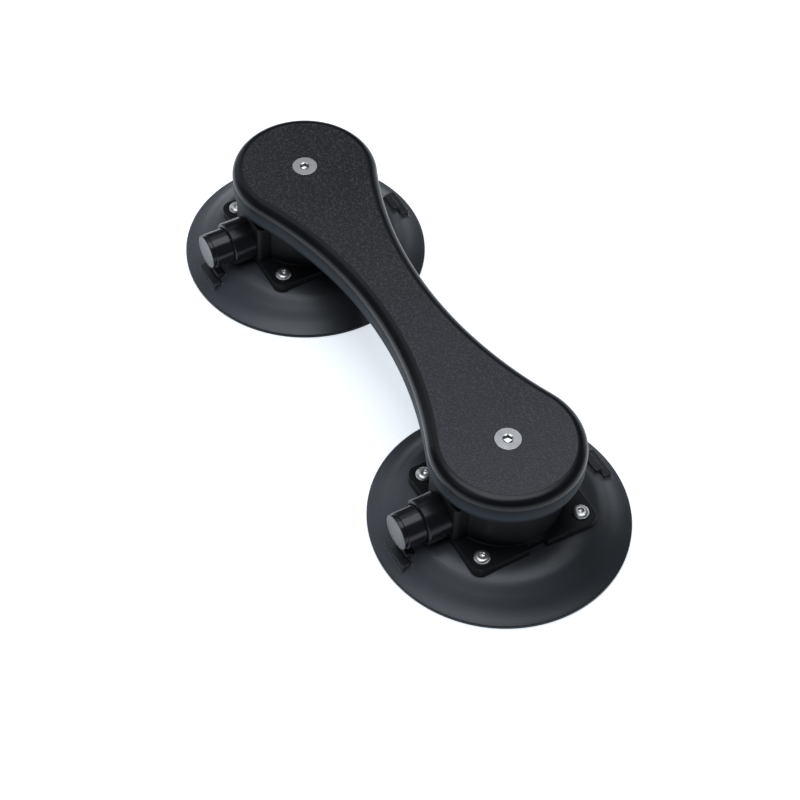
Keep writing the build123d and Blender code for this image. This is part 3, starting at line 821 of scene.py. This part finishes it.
def build_body(side):
    cx = CUP_X[side]
    plane = flat_plane(cx, 0, 0)
    flange = bmesh.new()
    eased_slab(flange, plane, flange_corners(), FLANGE_Z, FLANGE_TOP, FLANGE_EASE)
    puck = bmesh.new()
    puck_line = [(0, FLANGE_Z + PUCK_FOOT), (PUCK_R, FLANGE_Z + PUCK_FOOT)]
    for k in range(6):
        angle = math.radians(90 * k / 5)
        reach = PUCK_R + PUCK_FOOT - PUCK_FOOT * math.sin(angle)
        puck_line.append((reach, FLANGE_TOP - PUCK_SINK + PUCK_FOOT * (1 - math.cos(angle))))
    puck_top = [
        (PUCK_R, FLANGE_TOP + PUCK_FOOT, 0),
        (PUCK_R, BODY_HIGH.z, PUCK_EASE),
        (0, BODY_HIGH.z, 0),
    ]
    puck_line += rounded_path(puck_top)[1:]
    lathe(puck, plane, puck_line, count=160)
    boss = bmesh.new()
    front = -BODY_LOW.y
    corners = [
        (-BOSS_HALF, -front, BOSS_EASE),
        (BOSS_HALF, -front, BOSS_EASE),
        (BOSS_HALF, BOSS_BACK, BOSS_BACK_EASE),
        (-BOSS_HALF, BOSS_BACK, BOSS_BACK_EASE),
    ]
    eased_slab(boss, plane, corners, FLANGE_Z + PUCK_FOOT, BOSS_TOP, BOSS_TOP_EASE)
    mesh = cut(to_mesh(flange, "body_base"), [puck, boss], "UNION")
    seat_low, seat_high = FLANGE_TOP - SCREW_SINK, FLANGE_TOP + SCREW_SINK
    seat_line = [(0, seat_low), (SCREW_SEAT_R, seat_low), (SCREW_SEAT_R, seat_high), (0, seat_high)]
    cutters = []
    for sx in (-1, 1):
        for sy in (-1, 1):
            seat = bmesh.new()
            at = flat_plane(cx + sx * SCREW_AT, sy * SCREW_AT, 0)
            lathe(seat, at, seat_line, count=64)
            cutters.append(seat)
    bore = bmesh.new()
    bore_r, mouth = BUTTON_BORE_R + BORE_SLACK, -front - MM
    bore_line = [(0, mouth), (bore_r, mouth), (bore_r, BUTTON_BORE_END), (0, BUTTON_BORE_END)]
    lathe(bore, pump_plane(cx), bore_line, count=72)
    cutters.append(bore)
    mesh = cut(mesh, cutters)
    body = finish_object(
        mesh, f"{side}_body", "frame", sharp=40, replaces=[f"{side}_pump_body"]
    )
    return dress(body, BODY_PLASTIC)


# ================================================================ collar, button and cap
COLLAR_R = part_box("right_pump_collar")[1].x - HALF_SPACING
COLLAR_BORE = 11.25 * MM
BUTTON_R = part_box("right_push_button")[1].x - HALF_SPACING


def build_collar(side):
    cx = CUP_X[side]
    low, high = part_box(f"{side}_pump_collar")
    seam = BODY_LOW.y
    spigot_r = 12.6 * MM
    profile = rounded_path(
        [
            (COLLAR_BORE, low.y, 0.4 * MM),
            (COLLAR_R, low.y, 1.1 * MM),
            (COLLAR_R, seam, 0.25 * MM),
            (spigot_r, seam, 0),
            (spigot_r, high.y, 0.4 * MM),
            (COLLAR_BORE, high.y, 0.3 * MM),
        ],
        closed=True,
    )
    bm = bmesh.new()
    lathe(bm, pump_plane(cx), profile, count=120, closed=True)
    collar = finish_mesh(
        bm, f"{side}_collar", "frame", replaces=[f"{side}_pump_collar"]
    )
    return dress(collar, COLLAR_PLASTIC)


def build_button(side):
    cx = CUP_X[side]
    low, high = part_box(f"{side}_push_button")
    wall = 2.0 * MM
    groove_w = 1.2 * MM
    groove_r = BUTTON_R - 0.8 * MM
    web_end = low.y + 4.0 * MM
    hub_r = 5.5 * MM
    hub_end = low.y + 15.5 * MM
    rod_r = 3.5 * MM
    rod_seat = low.y + 5.5 * MM
    stem_hole_r = 2.5 * MM
    profile = rounded_path(
        [
            (stem_hole_r, low.y, 0),
            (groove_r, low.y, 0),
            (groove_r, low.y + groove_w, 0.1 * MM),
            (BUTTON_R, low.y + groove_w, 0.2 * MM),
            (BUTTON_R, high.y, 0.4 * MM),
            (BUTTON_R - wall, high.y, 0.3 * MM),
            (BUTTON_R - wall, web_end, 0.6 * MM),
            (hub_r, web_end, 0.6 * MM),
            (hub_r, hub_end, 0.3 * MM),
            (rod_r, hub_end, 0),
            (rod_r, rod_seat, 0),
            (stem_hole_r, rod_seat, 0),
        ],
        closed=True,
        steps=4,
    )
    bm = bmesh.new()
    lathe(bm, pump_plane(cx), profile, count=120, closed=True)
    button = finish_mesh(
        bm, f"{side}_button", f"{side}_plunger", replaces=[f"{side}_push_button"]
    )
    return dress(button, BUTTON_PLASTIC)


def build_cap(side):
    cx = CUP_X[side]
    low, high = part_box(f"{side}_button_cap")
    face_y = low.y
    seam_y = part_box(f"{side}_push_button")[0].y
    cap_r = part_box(f"{side}_button_cap")[1].x - cx
    dish = 0.15 * MM
    dish_r = cap_r - 2.2 * MM
    stem_r = 2.45 * MM
    profile = [(0, face_y + dish), (dish_r, face_y + dish)]
    profile += rounded_path(
        [
            (dish_r, face_y + dish, 0),
            (cap_r - 1.6 * MM, face_y, 0.6 * MM),
            (cap_r, face_y, 0.45 * MM),
            (cap_r, seam_y, 0),
            (stem_r, seam_y, 0),
            (stem_r, high.y, 0.3 * MM),
            (0, high.y, 0),
        ]
    )[1:]
    bm = bmesh.new()
    lathe(bm, pump_plane(cx), profile, count=120)
    cap = finish_mesh(
        bm, f"{side}_cap", f"{side}_plunger", replaces=[f"{side}_button_cap"]
    )
    return dress(cap, CAP_PLASTIC)


# ================================================================ screws
PLATE_HEX = 5.0 * MM
PLATE_HEX_DEPTH = 3.0 * MM
PLATE_SCREW_PITCH = 1.25 * MM
FLANGE_HEX = 3.0 * MM
FLANGE_HEX_DEPTH = 1.7 * MM
FLANGE_SCREW_PITCH = 0.8 * MM
DOME_FLAT_R = 2.4 * MM
DOME_SIDE = 0.7 * MM
DOME_STEPS = 8
TIP_TAPER = 0.25
HEX_CORNERS = 1.155


def threaded(count, radius, start, end, pitch, depth):
    """Rings of a right-hand thread: the radius follows a rounded V along the helix."""
    rings = []
    per_turn = 8
    step = pitch / per_turn
    rows = int((end - start) / step)
    for k in range(rows + 1):
        w = start + step * k
        ring = []
        fade = min(1.0, (end - w) / pitch, (w - start) / pitch)
        for i in range(count):
            angle = 2 * math.pi * i / count
            phase = (w / pitch - i / count) % 1.0
            dip = depth * fade * (0.5 + 0.5 * math.cos(2 * math.pi * phase))
            ring.append(((radius - dip) * math.cos(angle), (radius - dip) * math.sin(angle), w))
        rings.append(ring)
    return rings


def socket_rings(head_top, width, depth, count):
    """Rings from the bottom of a hex socket up to its mouth, with the drill cone below it."""
    lead = 0.25 * MM
    return [
        circle(width * 0.12, head_top - depth - width * 0.16, count),
        hexagon(width * 0.92, head_top - depth, count),
        hexagon(width, head_top - depth + 0.05 * MM, count),
        hexagon(width, head_top - lead, count),
        circle(width / 2 * HEX_CORNERS + lead * 0.6, head_top, count),
    ]


def screw_rings(count, socket, head_line, shank_r, shank_top, tip, pitch):
    """A whole screw from its socket to its tip; the thread is half as deep as its pitch."""
    rings = socket + [circle(radius, w, count) for radius, w in head_line]
    thread = threaded(count, shank_r, tip + shank_r * TIP_TAPER, shank_top, pitch, pitch * 0.5)
    return rings + thread[::-1] + [circle(shank_r * (1 - TIP_TAPER), tip, count)]


def build_plate_screws():
    low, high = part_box("plate_screws")
    head_r = high.x - HALF_SPACING
    shank_r = 4.0 * MM
    count = 72
    top = high.z
    side = 0.3 * MM
    bm = bmesh.new()
    for cx in CUP_X.values():
        head_line = rounded_path(
            [
                (3.4 * MM, top, 0),
                (head_r, top, 0.15 * MM),
                (head_r, top - side, 0.1 * MM),
                (shank_r, top - (head_r - shank_r) - side, 0),
            ],
            steps=3,
        )
        socket = socket_rings(top, PLATE_HEX, PLATE_HEX_DEPTH, count)
        rings = screw_rings(count, socket, head_line, shank_r, top - 7.0 * MM, low.z, PLATE_SCREW_PITCH)
        stack(bm, flat_plane(cx, 0, 0), rings)
    screws = finish_mesh(bm, "plate_screw_pair", "frame", replaces=["plate_screws"])
    return dress(screws, STEEL)


def build_base_screws(side):
    cx = CUP_X[side]
    low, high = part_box(f"{side}_base_screws")
    top = high.z
    head_r = 4.9 * MM
    head_h = 2.9 * MM
    shank_r = 2.5 * MM
    seat = top - head_h
    count = 72
    bm = bmesh.new()
    for sx in (-1, 1):
        for sy in (-1, 1):
            dome = [(2.1 * MM, top)]
            for k in range(1, DOME_STEPS + 1):
                angle = math.radians(90 * k / DOME_STEPS)
                reach = DOME_FLAT_R + (head_r - DOME_FLAT_R) * math.sin(angle)
                dome.append((reach, top - (head_h - DOME_SIDE) * (1 - math.cos(angle))))
            dome += [(head_r, seat + 0.15 * MM), (head_r - 0.15 * MM, seat), (shank_r, seat)]
            socket = socket_rings(top, FLANGE_HEX, FLANGE_HEX_DEPTH, count)
            rings = screw_rings(count, socket, dome, shank_r, seat - 0.3 * MM, low.z, FLANGE_SCREW_PITCH)
            stack(bm, flat_plane(cx + sx * SCREW_AT, sy * SCREW_AT, 0), rings)
    screws = finish_mesh(
        bm, f"{side}_flange_screws", "frame", replaces=[f"{side}_base_screws"]
    )
    return dress(screws, DOME_STEEL)


# ================================================================ return springs
SPRING_WIRE_R = 0.6 * MM
SPRING_PITCH = 3.4 * MM
STEPS_PER_TURN = 40
WIRE_SIDES = 12


def coil_ring(radius, rise, angle, start):
    """The wire's round section, square to the coil, where the coil has turned through an angle."""
    length = math.hypot(radius, rise)
    ring = []
    for i in range(WIRE_SIDES):
        turn = 2 * math.pi * i / WIRE_SIDES
        outward = radius + SPRING_WIRE_R * math.cos(turn)
        across = SPRING_WIRE_R * math.sin(turn)
        sideways = -across * rise / length
        u = outward * math.cos(angle) - sideways * math.sin(angle)
        v = outward * math.sin(angle) + sideways * math.cos(angle)
        ring.append((u, v, start + rise * angle + across * radius / length))
    return ring


def build_return_spring(side):
    """A coil held at its +Y end."""
    node_name = f"{side}_return_spring"
    low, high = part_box(node_name)
    radius = (high.x - low.x) / 2 - SPRING_WIRE_R
    length = high.y - low.y
    turns = (length - 2 * SPRING_WIRE_R) / SPRING_PITCH
    steps = round(turns * STEPS_PER_TURN)
    rise = SPRING_PITCH / (2 * math.pi)
    start = low.y + SPRING_WIRE_R
    rings = [coil_ring(radius, rise, 2 * math.pi * turns * k / steps, start) for k in range(steps + 1)]
    bm = bmesh.new()
    stack(bm, pump_plane(CUP_X[side]), rings)
    spring = finish_mesh(bm, f"{side}_coil_spring", "frame", replaces=[node_name])
    dress(spring, WIRE_STEEL)
    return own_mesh(spring)


build_plate()
build_plate_screws()
for side_name in SIDES:
    build_pad(side_name)
    build_body(side_name)
    build_collar(side_name)
    build_button(side_name)
    build_cap(side_name)
    build_base_screws(side_name)
    build_return_spring(side_name)


# ================================================================ stage, light and camera
FLOOR_HALF = 4.0
GLOW = 0.62
GLOW_R = (0.40, 0.62)
GLOW_FAR = 0.45
FLOOR_Z = -0.2 * MM
LIGHT_TINT = (0.93, 0.98, 1.06)
GLOW_TINT = (0.93, 1.0, 1.07)
SURROUND_TINT = (0.90, 0.97, 1.08)
SURROUND = 0.05


def build_floor():
    bm = bmesh.new()
    corners = [(FLOOR_HALF * sx, FLOOR_HALF * sy) for sx, sy in ((-1, -1), (1, -1), (1, 1), (-1, 1))]
    bm.faces.new([bm.verts.new((x, y, FLOOR_Z)) for x, y in corners])
    mesh = to_mesh(bm, "floor")
    floor = bpy.data.objects.new("floor", mesh)
    bpy.context.scene.collection.objects.link(floor)
    n = Nodes("glowing_pale_floor")
    cloud = n.noise(3, detail=3)
    n.set(colour=n.mix(cloud, (0.86, 0.87, 0.88), (0.90, 0.91, 0.92)), roughness=0.9, specular=0.1)
    reach = n.tree.nodes.new("ShaderNodeVectorMath")
    reach.operation = "LENGTH"
    n.link(n.place, reach.inputs[0])
    share = n.math("DIVIDE", reach.outputs["Value"], FLOOR_HALF)
    # Painted light: the floor glows, fully within 0.40 m of the middle, so it stays white, washes out the
    # shadows on it and lights the pieces from below.
    glow = n.ramp(share, [(GLOW_R[0] / FLOOR_HALF, 1.0), (GLOW_R[1] / FLOOR_HALF, GLOW_FAR)])
    n.link(n.math("MULTIPLY", glow, GLOW), n.shader.inputs["Emission Strength"])
    n.shader.inputs["Emission Color"].default_value = (*GLOW_TINT, 1)
    dress(floor, n.material)


def softbox(name, place_at, target, size, radiance):
    """A rectangular soft light, given by how bright its face is."""
    data = bpy.data.lights.new(name, "AREA")
    data.shape = "RECTANGLE"
    data.size, data.size_y = size
    data.color = LIGHT_TINT
    data.energy = radiance * math.pi * size[0] * size[1]
    lamp = bpy.data.objects.new(name, data)
    lamp.location = place_at
    aim = Vector(target) - Vector(place_at)
    lamp.rotation_euler = aim.to_track_quat("-Z", "Y").to_euler()
    bpy.context.scene.collection.objects.link(lamp)


def build_lights():
    scene = bpy.context.scene
    scene.view_settings.view_transform = "Standard"
    world = bpy.data.worlds.new("studio")
    scene.world = world
    world.use_nodes = True
    backdrop = world.node_tree.nodes["Background"]
    backdrop.inputs["Color"].default_value = (*SURROUND_TINT, 1)
    backdrop.inputs["Strength"].default_value = SURROUND
    softbox("overhead_box", (0.05, -0.02, 1.6), (0.05, -0.02, 0), (1.25, 1.45), 3.0)
    softbox("far_box", (-0.92, 0.25, 1.25), (0, 0, 0.05), (1.5, 0.7), 0.6)
    softbox("left_box", (-1.45, -0.42, 0.58), (0, 0, 0.03), (1.0, 0.9), 0.6)
    softbox("front_box", (0.22, -1.15, 1.15), (0, 0, 0.03), (0.9, 0.6), 0.5)
    softbox("back_box", (-0.55, 1.6, 0.30), (0, 0, 0.04), (1.4, 0.5), 0.8)


# azimuth, elevation and roll, in degrees
CAMERA_TURN = (58.671, 50.934, 2.577)
CAMERA_DISTANCE = 1.18020
CAMERA_SLIDE = (0.001688, -0.015308)
CAMERA_LENS = 87.42


def build_camera():
    """Stands at an azimuth from -Y towards +X and an elevation; the slide is across its view."""
    azimuth, elevation, roll = (math.radians(angle) for angle in CAMERA_TURN)
    level = math.cos(elevation)
    back = Vector((math.sin(azimuth) * level, -math.cos(azimuth) * level, math.sin(elevation)))
    right = Vector((math.cos(azimuth), math.sin(azimuth), 0))
    up = back.cross(right)
    right_rolled = math.cos(roll) * right + math.sin(roll) * up
    up_rolled = math.cos(roll) * up - math.sin(roll) * right
    data = bpy.data.cameras.new("camera")
    data.sensor_width = 36.0
    data.lens = CAMERA_LENS
    data.clip_start = 0.05
    camera = bpy.data.objects.new("camera", data)
    spin = Matrix((right_rolled, up_rolled, back)).transposed()
    stand = back * CAMERA_DISTANCE + right_rolled * CAMERA_SLIDE[0] + up_rolled * CAMERA_SLIDE[1]
    camera.matrix_world = Matrix.Translation(stand) @ spin.to_4x4()
    bpy.context.scene.collection.objects.link(camera)
    bpy.context.scene.camera = camera


build_floor()
build_lights()
build_camera()
